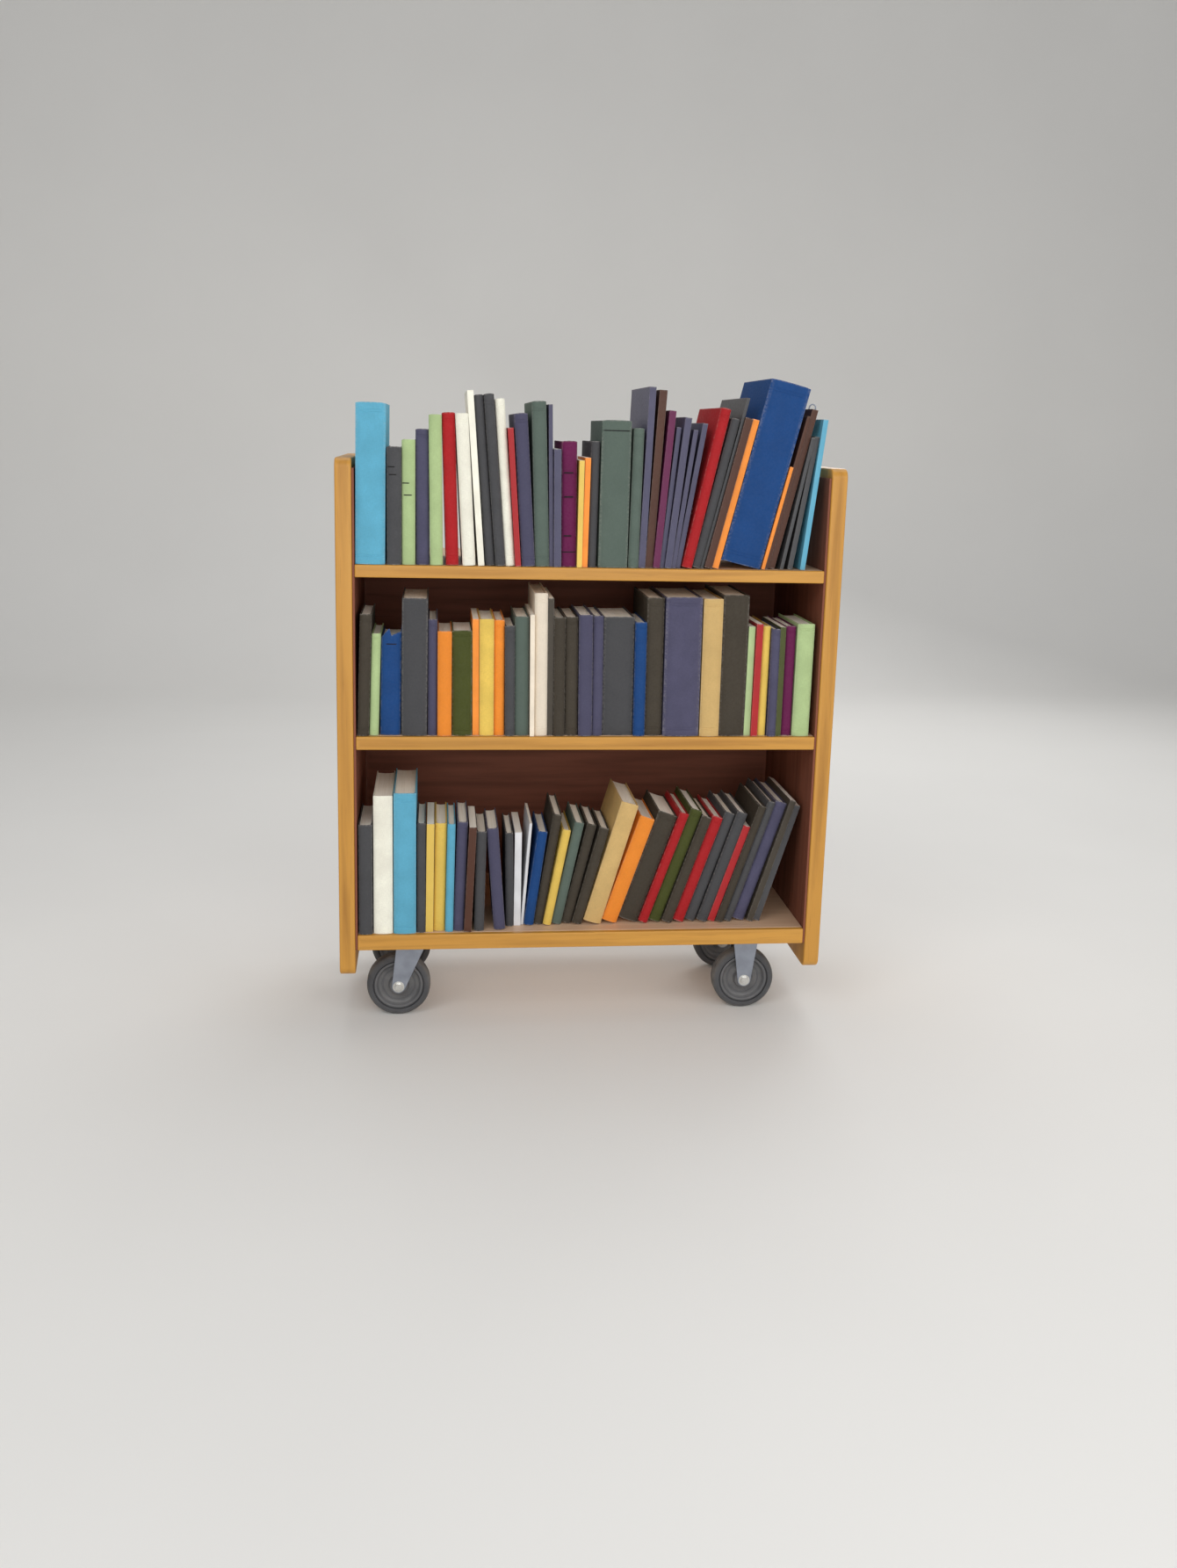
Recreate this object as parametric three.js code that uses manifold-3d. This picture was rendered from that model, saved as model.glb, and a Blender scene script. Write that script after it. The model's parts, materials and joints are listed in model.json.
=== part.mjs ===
// A three-shelf wooden book cart on four casters, with its shelves full of books.
// Millimetres. The origin is on the floor under the middle of the cart.
// +X is to the right for a reader who faces the spines, -Y is the front and +Z is up.

import * as THREE from 'three';
import { mergeVertices } from 'three/addons/utils/BufferGeometryUtils.js';
import Module from 'manifold-3d';

const wasm = await Module();
wasm.setup();

// ---- Driving dimensions ----

const GAP = 0.3; // air left between two pieces that touch

// Carcass
const CART_WIDTH = 940;
const CART_DEPTH = 380;
const PANEL_FOOT = 112; // lower edge of the end panels, which run down past the bottom shelf as feet
const PANEL_TOP = 1092; // upper edge, which stands above the top shelf as a bookend
const PANEL_THICKNESS = 30;
const PANEL_CORNER = 18;
const LINER_THICKNESS = 4; // dark board on the inner face of each end panel
const LINER_INSET = 3;
const LIPPING_DEPTH = 12; // solid wood strip along the front of each shelf
const BACK_THICKNESS = 6;
const BACK_INSET = 6;
const SHELVES = {
  bottom: { underside: 164, thickness: 30 },
  middle: { underside: 558, thickness: 25 },
  top: { underside: 879, thickness: 23 },
};

// Casters: the left pair swivels and the right pair is rigid
const CASTER_X = 336;
const CASTER_Y = 105;
const TRAIL = 24; // how far a swivel caster's axle lies behind its king pin
const WHEEL_RADIUS = 62.5;
const WHEEL_WIDTH = 32;
const TYRE_INNER_RADIUS = 48;
const RIGID_CROWN_LENGTH = 52;
const HUB_HALF_LENGTH = 18.8;
const PLATE_LENGTH = 95;
const PLATE_WIDTH = 68;
const PLATE_THICKNESS = 3.5;
const PLATE_CORNER = 8;
const PLATE_HOLE_RADIUS = 4.5;
const PLATE_HOLE_INSET = 11;
const RACE_RADIUS = 24;
const RACE_HEIGHT = 6.6;
const PIN_RADIUS = 5.7;
const PIN_HEAD_RADIUS = 9;
const PIN_HEAD_HEIGHT = 3.5;
const FORK_THICKNESS = 3;
const FORK_INSIDE = 40; // between the two legs
const FORK_BEND = 6;
const CROWN_MARGIN = 4; // of a swivel fork's crown, beyond the race and beyond the axle
const FORK_EYE_RADIUS = 13; // rounded end of a leg, round the axle
const AXLE_RADIUS = 4.7;
const HEX_RADIUS = 9.4;
const HEX_HEIGHT = 6;
const NUT_HEIGHT = 7;
const THREAD_BEYOND_NUT = 3;
const SLEEVE_RADIUS = 7.5;
const ROUND_SEGMENTS = 28;
const CORE_SEGMENTS = 24;
const SMALL_ROUND_SEGMENTS = 16;

// Books. Each is [thickness, height, lean in degrees], and a positive lean tips its top to the right.
// A set of one is a loose book. The books of a larger set press on each other and make one body.
const BOOK_PRESS = 0.4; // how far the books of a set are squeezed into each other
const SET_GAP = 1; // between two sets
const CLOTH_COLOURS = {
  sky: 0x62aeca, charcoal: 0x4c4c4e, leaf: 0xb2c88f, slate: 0x504e66, red: 0xb01f24, white: 0xf9f5e4,
  sage: 0x5d6b62, plum: 0x671a4a, blue: 0x194680, olive: 0x484e20, cream: 0xf4e6d1, tan: 0xd4b173,
  umber: 0x453e34, brown: 0x523021,
};
const SHELF_ROWS = {
  top: [
    { name: 'tall_light_blue_book', colour: 'sky', setback: 2, books: [[54, 287, 0.5]] },
    {
      name: 'top_left_books', colour: 'leaf', setback: 1,
      books: [
        [27, 211, 0], [25, 224, 0], [24, 243, -0.4], [24, 269, -0.7], [24, 273, -1.8], [24, 272, -3.2],
        [12, 313, -4.2], [18, 306, -4.6], [19, 308, -4.6], [18, 300, -4.4], [11, 249, -4],
      ],
    },
    {
      name: 'top_centre_books', colour: 'plum', setback: 2,
      books: [
        [25, 275, -3.8], [27, 297, -2.2], [8, 292, -1.4], [14, 213, -1],
        [29, 228, -0.8], [10, 194, 0.2], [11, 199, 0.6], [17, 229, 0.6],
      ],
    },
    { name: 'broad_green_book', colour: 'sage', setback: 4, books: [[55, 267, 0.2]] },
    {
      name: 'top_right_books', colour: 'slate', setback: 5,
      books: [
        [20, 254, 0.8], [13, 328, 1.8], [15, 323, 3], [13, 287, 4.2],
        [9, 258, 5.2], [13, 276, 6], [9, 255, 7.5], [10, 268, 9],
      ],
    },
    {
      name: 'top_leaning_books', colour: 'red', setback: 6,
      books: [[20, 298, 12], [17, 281, 13], [6, 321, 13.4], [15, 283, 13.4], [13, 281, 13.4]],
    },
    { name: 'large_blue_book', colour: 'blue', setback: 10, books: [[77, 342, 13.4]] },
    {
      name: 'top_last_books', colour: 'brown', setback: 12,
      books: [[7, 195, 13.4], [7, 290, 13.2], [12, 302, 13], [7, 249, 11], [10, 249, 9], [10, 279, 6]],
    },
  ],
  middle: [
    {
      name: 'middle_left_books', colour: 'olive', setback: 5,
      books: [
        [22, 228, 1.6], [18, 192, 1.6], [38, 202, 0.8], [48, 258, 0.4], [18, 219, 0], [27, 198, 0],
        [38, 199, -0.2], [13, 220, -0.4], [28, 221, -0.4], [20, 219, -0.4], [19, 209, -0.6], [27, 226, -0.6],
      ],
    },
    {
      name: 'middle_centre_books', colour: 'cream', setback: 4,
      books: [
        [9, 230, -0.6], [25, 270, -0.6], [12, 260, -0.6], [22, 226, -0.6], [25, 226, -0.8],
        [27, 231, -0.8], [20, 229, -0.6], [59, 227, -0.4], [23, 218, -0.4], [33, 264, -0.4],
      ],
    },
    { name: 'broad_slate_book', colour: 'slate', setback: 5, books: [[70, 266, -0.3]] },
    {
      name: 'middle_right_books', colour: 'tan', setback: 4,
      books: [
        [38, 264, -0.2], [50, 271, 0], [13, 211, 0.3], [13, 217, 0.6], [17, 213, 0.4],
        [18, 208, 0], [11, 211, 0], [22, 213, 0], [34, 218, 0.3],
      ],
    },
  ],
  bottom: [
    { name: 'dark_grey_book', colour: 'charcoal', setback: 4, books: [[27, 218, 0]] },
    { name: 'tall_white_book', colour: 'white', setback: 6, books: [[37, 274, 0]] },
    { name: 'sky_blue_book', colour: 'sky', setback: 5, books: [[43, 279, 0]] },
    {
      name: 'bottom_left_books', colour: 'charcoal', setback: 10,
      books: [
        [17, 219, 0], [15, 216, 0.5], [23, 216, 0.8], [16, 216, 1],
        [21, 219, 1.8], [15, 210, 2.4], [20, 200, 1], [23, 205, -4.5],
      ],
    },
    {
      name: 'bottom_centre_books', colour: 'umber', setback: 38,
      books: [
        [16, 190, -1], [14, 190, 0], [6, 207, 4], [20, 192, 7.5], [18, 226, 9],
        [17, 197, 10.5], [20, 211, 11.5], [20, 207, 13.2], [20, 202, 14.7],
      ],
    },
    {
      name: 'bottom_leaning_books', colour: 'umber', setback: 40,
      books: [
        [36, 252, 16], [31, 224, 18.5], [40, 230, 19], [19, 236, 19], [25, 241, 19],
        [21, 228, 18.8], [23, 226, 18.7], [22, 233, 18.5], [22, 235, 18.3], [15, 206, 18.3],
        [16, 250, 18.1], [16, 258, 17.9], [25, 254, 17.7], [13, 260, 17.1], [13, 248, 16.8],
      ],
    },
  ],
};
const SET_INSETS = { top: 1, middle: 2, bottom: 2 }; // from the left liner to a row's first book
const DEPTH_TO_HEIGHT = 0.72;
const SHALLOWEST_BOOK = 145;
const DEEPEST_BOOK = 235;
const STAGGER_STEPS = 17;
const STAGGER_STRIDE = 7;
const STAGGER = 0.6; // no two books of a set are pushed in equally far

// ---- Finishes ----

function finish(colour, roughness, metalness) {
  return new THREE.MeshStandardMaterial({ color: colour, roughness, metalness });
}

const OAK = finish(0xc48f46, 0.5, 0);
const DARK_BOARD = finish(0x4e2d22, 0.6, 0);
const PALE_BOARD = finish(0xd8b291, 0.5, 0);
const FORK_STEEL = finish(0x9ca2ae, 0.35, 0.9);
const ZINC = finish(0xe2e2de, 0.3, 0.9);
const WHEEL_PLASTIC = finish(0x5a5a5c, 0.6, 0);
const TYRE_RUBBER = finish(0x4c4c4e, 0.85, 0);

// ---- Shape helpers ----

function mesh(name, geometry, material) {
  const made = new THREE.Mesh(geometry, material);
  made.name = name;
  return made;
}

function solidOf(geometry) {
  const bare = geometry.clone();
  bare.deleteAttribute('normal');
  bare.deleteAttribute('uv');
  const merged = mergeVertices(bare, 1e-4);
  const triVerts = new Uint32Array(merged.index.array);
  return new wasm.Manifold(
    new wasm.Mesh({ numProp: 3, vertProperties: merged.attributes.position.array, triVerts }),
  );
}

function geometryOf(solid) {
  const { vertProperties, triVerts } = solid.getMesh();
  const geometry = new THREE.BufferGeometry();
  geometry.setAttribute('position', new THREE.BufferAttribute(vertProperties, 3));
  geometry.setIndex(new THREE.BufferAttribute(triVerts, 1));
  geometry.computeVertexNormals();
  return geometry;
}

const PLAIN_EXTRUSION = { bevelEnabled: false, curveSegments: 5 };

// A shape drawn in X and Z, run along Y from front.
function alongY(shape, front, depth) {
  const geometry = new THREE.ExtrudeGeometry(shape, { ...PLAIN_EXTRUSION, depth });
  return geometry.rotateX(Math.PI / 2).translate(0, front + depth, 0);
}

// A shape drawn in Y and Z, run along X from start.
function alongX(shape, start, length) {
  const geometry = new THREE.ExtrudeGeometry(shape, { ...PLAIN_EXTRUSION, depth: length });
  const axes = new THREE.Matrix4().makeBasis(
    new THREE.Vector3(0, 1, 0),
    new THREE.Vector3(0, 0, 1),
    new THREE.Vector3(1, 0, 0),
  );
  return geometry.applyMatrix4(axes).translate(start, 0, 0);
}

function roundedRectangle(low, high, radius) {
  const shape = new THREE.Shape();
  shape.moveTo(low.x + radius, low.y);
  shape.lineTo(high.x - radius, low.y);
  shape.absarc(high.x - radius, low.y + radius, radius, -Math.PI / 2, 0);
  shape.absarc(high.x - radius, high.y - radius, radius, 0, Math.PI / 2);
  shape.absarc(low.x + radius, high.y - radius, radius, Math.PI / 2, Math.PI);
  shape.absarc(low.x + radius, low.y + radius, radius, Math.PI, 1.5 * Math.PI);
  return shape;
}

// A board given by its lowest and highest corners.
function board(low, high) {
  const size = new THREE.Vector3().subVectors(high, low);
  const middle = new THREE.Vector3().addVectors(low, high).multiplyScalar(0.5);
  return new THREE.BoxGeometry(size.x, size.y, size.z).translate(middle.x, middle.y, middle.z);
}

// A solid turned about Y from [radius, y] points that go up its outside and close on themselves.
function turned(points, segments = ROUND_SEGMENTS) {
  const profile = points.map(([radius, y]) => new THREE.Vector2(radius, y));
  return new THREE.LatheGeometry([...profile, profile[0].clone()], segments);
}

function tube(innerRadius, outerRadius, low, high, segments = ROUND_SEGMENTS) {
  const points = [[innerRadius, low], [outerRadius, low], [outerRadius, high], [innerRadius, high]];
  return turned(points, segments);
}

function rod(radius, low, high, segments = SMALL_ROUND_SEGMENTS) {
  return new THREE.CylinderGeometry(radius, radius, high - low, segments).translate(0, (low + high) / 2, 0);
}

// ---- Carcass ----

const halfWidth = CART_WIDTH / 2;
const halfDepth = CART_DEPTH / 2;
const panelInside = halfWidth - PANEL_THICKNESS;
const linerInside = panelInside - GAP - LINER_THICKNESS;
const shelfHalfLength = linerInside - GAP;

function endPanel(side) {
  const outline = roundedRectangle(
    new THREE.Vector2(-halfDepth, PANEL_FOOT),
    new THREE.Vector2(halfDepth, PANEL_TOP),
    PANEL_CORNER,
  );
  const left = side === 'left' ? -halfWidth : panelInside;
  return mesh(`${side}_end_panel`, alongX(outline, left, PANEL_THICKNESS), OAK);
}

function innerLiner(side) {
  const left = side === 'left' ? -panelInside + GAP : linerInside;
  const low = new THREE.Vector3(left, -halfDepth + LINER_INSET, SHELVES.bottom.underside);
  const high = new THREE.Vector3(left + LINER_THICKNESS, halfDepth - LINER_INSET, PANEL_TOP - PANEL_CORNER);
  return mesh(`${side}_inner_liner`, board(low, high), DARK_BOARD);
}

function shelf(name, { underside, thickness }) {
  const front = -halfDepth + LIPPING_DEPTH;
  const boardLow = new THREE.Vector3(-shelfHalfLength, front + GAP, underside);
  const boardHigh = new THREE.Vector3(shelfHalfLength, halfDepth, underside + thickness);
  const edgeLow = new THREE.Vector3(-shelfHalfLength, -halfDepth, underside);
  const edgeHigh = new THREE.Vector3(shelfHalfLength, front, underside + thickness);
  return [
    mesh(`${name}_shelf`, board(boardLow, boardHigh), PALE_BOARD),
    mesh(`${name}_shelf_front_edge`, board(edgeLow, edgeHigh), OAK),
  ];
}

// The dark board that closes the back between two shelves.
function backPanel(name, lower, upper) {
  const back = halfDepth - BACK_INSET;
  const bottom = lower.underside + lower.thickness + GAP;
  const low = new THREE.Vector3(-shelfHalfLength, back - BACK_THICKNESS, bottom);
  const high = new THREE.Vector3(shelfHalfLength, back, upper.underside - GAP);
  return mesh(name, board(low, high), DARK_BOARD);
}

// ---- Casters ----

const plateTop = SHELVES.bottom.underside - GAP;
const plateBottom = plateTop - PLATE_THICKNESS;
const raceTop = plateBottom - GAP;
const crownTop = raceTop - RACE_HEIGHT - GAP;
const crownBottom = crownTop - FORK_THICKNESS;
const legInside = FORK_INSIDE / 2;
const legOutside = legInside + FORK_THICKNESS;

// A caster plate's outline with its four bolt holes, drawn in X and Y.
function mountingPlate() {
  const outline = roundedRectangle(
    new THREE.Vector2(-PLATE_LENGTH / 2, -PLATE_WIDTH / 2),
    new THREE.Vector2(PLATE_LENGTH / 2, PLATE_WIDTH / 2),
    PLATE_CORNER,
  );
  for (const acrossX of [-1, 1]) {
    for (const acrossY of [-1, 1]) {
      const hole = new THREE.Path();
      const x = acrossX * (PLATE_LENGTH / 2 - PLATE_HOLE_INSET);
      const y = acrossY * (PLATE_WIDTH / 2 - PLATE_HOLE_INSET);
      hole.absarc(x, y, PLATE_HOLE_RADIUS, 0, 2 * Math.PI, true);
      outline.holes.push(hole);
    }
  }
  return outline;
}

function flatPlate(outline) {
  const settings = { ...PLAIN_EXTRUSION, depth: PLATE_THICKNESS };
  return new THREE.ExtrudeGeometry(outline, settings).translate(0, 0, plateBottom);
}

function topPlate(name) {
  const outline = mountingPlate();
  const pinHole = new THREE.Path();
  pinHole.absarc(0, 0, PIN_RADIUS + GAP, 0, 2 * Math.PI, true);
  outline.holes.push(pinHole);
  return mesh(name, flatPlate(outline), FORK_STEEL);
}

// A rivet that hangs the fork's crown from the plate, with its head under the crown.
function kingPin(name) {
  const headTop = crownBottom - GAP;
  const points = [
    [0, headTop - PIN_HEAD_HEIGHT], [PIN_HEAD_RADIUS - 2, headTop - PIN_HEAD_HEIGHT],
    [PIN_HEAD_RADIUS, headTop - PIN_HEAD_HEIGHT + 1.5], [PIN_HEAD_RADIUS, headTop],
    [PIN_RADIUS, headTop], [PIN_RADIUS, plateTop], [0, plateTop],
  ];
  const profile = points.map(([radius, height]) => new THREE.Vector2(radius, height));
  const geometry = new THREE.LatheGeometry(profile, SMALL_ROUND_SEGMENTS).rotateX(Math.PI / 2);
  return mesh(name, geometry, ZINC);
}

// The ring of the ball race between the plate and the crown, with a groove round its rim.
function ballRace(name) {
  const low = raceTop - RACE_HEIGHT;
  const points = [
    [PIN_RADIUS + GAP, low], [RACE_RADIUS, low], [RACE_RADIUS, low + 2],
    [RACE_RADIUS - 1.6, low + RACE_HEIGHT / 2], [RACE_RADIUS, raceTop - 2],
    [RACE_RADIUS, raceTop], [PIN_RADIUS + GAP, raceTop],
  ];
  return mesh(name, turned(points, CORE_SEGMENTS).rotateX(Math.PI / 2), ZINC);
}

// The pressed channel that the fork is folded from: a rounded U in Y and Z, run along X.
function forkChannel(top, start, length) {
  const bottom = WHEEL_RADIUS - 2 * FORK_EYE_RADIUS;
  const shape = new THREE.Shape();
  const bendY = legOutside - FORK_BEND;
  const bendZ = top - FORK_BEND;
  const insideBend = FORK_BEND - FORK_THICKNESS;
  shape.moveTo(-legOutside, bottom);
  shape.lineTo(-legInside, bottom);
  shape.absarc(-bendY, bendZ, insideBend, Math.PI, Math.PI / 2, true);
  shape.absarc(bendY, bendZ, insideBend, Math.PI / 2, 0, true);
  shape.lineTo(legInside, bottom);
  shape.lineTo(legOutside, bottom);
  shape.absarc(bendY, bendZ, FORK_BEND, 0, Math.PI / 2);
  shape.absarc(-bendY, bendZ, FORK_BEND, Math.PI / 2, Math.PI);
  return alongX(shape, start, length);
}

// Angle, at the centre of a circle, of the point where a line from a corner touches the circle.
function touchAngle(corner, centre, radius, turn) {
  const away = new THREE.Vector2().subVectors(corner, centre);
  return away.angle() + turn * Math.acos(radius / away.length());
}

// A leg seen from the front: wide at the crown and tapered to a round eye at the axle.
function legOutline(axleX, crownLeft, crownRight, top) {
  const shoulder = top - FORK_BEND;
  const centre = new THREE.Vector2(axleX, WHEEL_RADIUS);
  const leftTouch = touchAngle(new THREE.Vector2(crownLeft, shoulder), centre, FORK_EYE_RADIUS, 1);
  const rightTouch = touchAngle(new THREE.Vector2(crownRight, shoulder), centre, FORK_EYE_RADIUS, -1);
  const shape = new THREE.Shape();
  shape.moveTo(crownRight, shoulder);
  shape.lineTo(crownRight, top);
  shape.lineTo(crownLeft, top);
  shape.lineTo(crownLeft, shoulder);
  shape.absarc(axleX, WHEEL_RADIUS, FORK_EYE_RADIUS, leftTouch, rightTouch + 2 * Math.PI);
  return shape;
}

function foldedFork(axleX, crownLeft, crownRight, top) {
  const longest = crownRight - crownLeft + 4 * FORK_EYE_RADIUS;
  const channel = solidOf(forkChannel(top, crownLeft - 2 * FORK_EYE_RADIUS, longest));
  const outline = legOutline(axleX, crownLeft, crownRight, top);
  const legs = solidOf(alongY(outline, -2 * legOutside, 4 * legOutside));
  const bore = rod(AXLE_RADIUS + GAP, -2 * legOutside, 2 * legOutside);
  return channel.intersect(legs).subtract(solidOf(bore.translate(axleX, 0, WHEEL_RADIUS)));
}

function swivelFork(name) {
  const pinHole = solidOf(rod(PIN_RADIUS + GAP, crownBottom - 1, crownTop + 1).rotateX(Math.PI / 2));
  const fork = foldedFork(-TRAIL, -TRAIL - CROWN_MARGIN, RACE_RADIUS + CROWN_MARGIN, crownTop).subtract(pinHole);
  return mesh(name, geometryOf(fork), FORK_STEEL);
}

// The rigid caster's fork is one welded piece with its mounting plate.
function rigidFork(name) {
  const weld = 1; // how far the channel is sunk into the plate
  const half = RIGID_CROWN_LENGTH / 2;
  const channel = foldedFork(0, -half, half, plateBottom + weld);
  const fork = channel.add(solidOf(flatPlate(mountingPlate())));
  return mesh(name, geometryOf(fork), FORK_STEEL);
}

function hexagon(low, high) {
  return new THREE.CylinderGeometry(HEX_RADIUS, HEX_RADIUS, high - low, 6).translate(0, (low + high) / 2, 0);
}

// The axle, a hexagon bolt from the front, and its nut at the back. Both lie along Y.
function axleBolt(name) {
  const underHead = -legOutside - GAP;
  const end = legOutside + GAP + NUT_HEIGHT + THREAD_BEYOND_NUT;
  const shank = solidOf(rod(AXLE_RADIUS, underHead - 1, end));
  const head = solidOf(hexagon(underHead - HEX_HEIGHT, underHead));
  return mesh(name, geometryOf(head.add(shank)), ZINC);
}

function axleNut(name) {
  const low = legOutside + GAP;
  const body = solidOf(hexagon(low, low + NUT_HEIGHT));
  const thread = solidOf(rod(AXLE_RADIUS + GAP, low - 1, low + NUT_HEIGHT + 1));
  return mesh(name, geometryOf(body.subtract(thread)), ZINC);
}

// The steel sleeve that the legs clamp and the wheel turns on.
function hubSleeve(name) {
  const half = legInside - GAP;
  return mesh(name, tube(AXLE_RADIUS + GAP, SLEEVE_RADIUS, -half, half, SMALL_ROUND_SEGMENTS), ZINC);
}

// Hub, thin web and rim, turned about Y.
function wheelCore(name) {
  const rim = TYRE_INNER_RADIUS - 2 * GAP; // clear of the flats inside the tyre
  const half = [
    [SLEEVE_RADIUS + GAP, HUB_HALF_LENGTH], [16, HUB_HALF_LENGTH], [19, 7],
    [39, 6], [42, 13.5], [rim, 13.5],
  ];
  const lower = half.map(([radius, y]) => [radius, -y]);
  const upper = half.toReversed();
  return mesh(name, turned([...lower, ...upper], CORE_SEGMENTS), WHEEL_PLASTIC);
}

// The tread ring, with rounded shoulders.
function tyre(name) {
  const half = WHEEL_WIDTH / 2;
  const upper = [
    [WHEEL_RADIUS, 10], [WHEEL_RADIUS - 2.5, 14], [WHEEL_RADIUS - 7, half],
    [TYRE_INNER_RADIUS, half - 1],
  ];
  const lower = upper.toReversed().map(([radius, y]) => [radius, -y]);
  return mesh(name, turned([...lower, ...upper]), TYRE_RUBBER);
}

// Everything that lies on the axle, in a frame whose origin is the wheel's centre.
function wheelSet(corner, axleX) {
  const group = new THREE.Group();
  group.position.set(axleX, 0, WHEEL_RADIUS);
  group.add(axleBolt(`${corner}_axle_bolt`));
  group.add(axleNut(`${corner}_axle_nut`));
  group.add(hubSleeve(`${corner}_hub_sleeve`));
  group.add(wheelCore(`${corner}_wheel_core`));
  group.add(tyre(`${corner}_tyre`));
  return group;
}

function swivelCaster(corner) {
  const group = new THREE.Group();
  group.add(topPlate(`${corner}_top_plate`));
  group.add(kingPin(`${corner}_king_pin`));
  group.add(ballRace(`${corner}_ball_race`));
  group.add(swivelFork(`${corner}_fork`));
  group.add(wheelSet(corner, -TRAIL));
  return group;
}

function rigidCaster(corner) {
  const group = new THREE.Group();
  group.add(rigidFork(`${corner}_fork`));
  group.add(wheelSet(corner, 0));
  return group;
}

// ---- Books ----

// The four corners of a book seen from the front, standing at height 0 on its lowest corner.
function bookCorners([thickness, height, lean]) {
  const turn = -THREE.MathUtils.degToRad(lean);
  const start = lean < 0 ? 0 : -thickness;
  const corners = [[start, 0], [start + thickness, 0], [start + thickness, height], [start, height]];
  const origin = new THREE.Vector2();
  return corners.map(([x, z]) => new THREE.Vector2(x, z).rotateAround(origin, turn));
}

// How far right (side 1) or left (side -1) an outline reaches at one height.
function reach(corners, height, side) {
  let farthest = -Infinity;
  corners.forEach((from, index) => {
    const to = corners[(index + 1) % corners.length];
    const crosses = (from.y - height) * (to.y - height) <= 0;
    if (crosses && from.y !== to.y) {
      const share = (height - from.y) / (to.y - from.y);
      farthest = Math.max(farthest, side * (from.x + share * (to.x - from.x)));
    } else if (crosses) {
      farthest = Math.max(farthest, side * from.x, side * to.x);
    }
  });
  return farthest;
}

// How far right a book has to move to stand clear of one that is already in place.
function clearance(standing, next) {
  const heights = [...standing, ...next].map((corner) => corner.y);
  const moves = heights.map((height) => reach(standing, height, 1) + reach(next, height, -1));
  return Math.max(...moves.filter(Number.isFinite));
}

// Stands a row's books from left to right, each against the ones before it.
function standRow(sets, inset) {
  const placed = [];
  for (const set of sets) {
    set.books.forEach((book, index) => {
      const corners = bookCorners(book);
      const leftmost = Math.min(...corners.map((corner) => corner.x));
      const between = index > 0 ? -BOOK_PRESS : SET_GAP;
      let move = -linerInside + inset - leftmost;
      for (const other of placed) {
        const gap = other.set === set ? between : SET_GAP;
        move = Math.max(move, clearance(other.corners, corners) + gap);
      }
      const standing = corners.map((corner) => new THREE.Vector2(corner.x + move, corner.y));
      placed.push({ set, index, book, corners: standing });
    });
  }
  return placed;
}

function bookPrism({ set, index, book, corners }, shelfTop) {
  const outline = new THREE.Shape(corners);
  const depth = THREE.MathUtils.clamp(book[1] * DEPTH_TO_HEIGHT, SHALLOWEST_BOOK, DEEPEST_BOOK);
  const pushedIn = set.setback + ((index * STAGGER_STRIDE) % STAGGER_STEPS) * STAGGER;
  return alongY(outline, -halfDepth + pushedIn, depth).translate(0, 0, shelfTop + GAP);
}

function bookRow(name) {
  const { underside, thickness } = SHELVES[name];
  const placed = standRow(SHELF_ROWS[name], SET_INSETS[name]);
  return SHELF_ROWS[name].map((set) => {
    const own = placed.filter((book) => book.set === set);
    const solids = own.map((book) => solidOf(bookPrism(book, underside + thickness)));
    const joined = solids.reduce((whole, solid) => whole.add(solid));
    return mesh(set.name, geometryOf(joined), finish(CLOTH_COLOURS[set.colour], 0.8, 0));
  });
}

// ---- Assembly ----

const cart = new THREE.Group();
for (const side of ['left', 'right']) {
  cart.add(endPanel(side));
  cart.add(innerLiner(side));
}
for (const [name, place] of Object.entries(SHELVES)) {
  cart.add(...shelf(name, place));
  cart.add(...bookRow(name));
}
cart.add(backPanel('lower_back_panel', SHELVES.bottom, SHELVES.middle));
cart.add(backPanel('upper_back_panel', SHELVES.middle, SHELVES.top));

for (const [end, y] of [['front', -CASTER_Y], ['rear', CASTER_Y]]) {
  const left = swivelCaster(`${end}_left`);
  left.position.set(-CASTER_X, y, 0);
  const right = rigidCaster(`${end}_right`);
  right.position.set(CASTER_X, y, 0);
  cart.add(left, right);
}

export default cart;
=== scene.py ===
"""A library book cart full of books: its looks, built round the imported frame.

Metres, +Z up. The books' spines face -Y.
"""

import json
import math
import random

import bmesh
import bpy
from mathutils import Matrix, Vector

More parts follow.
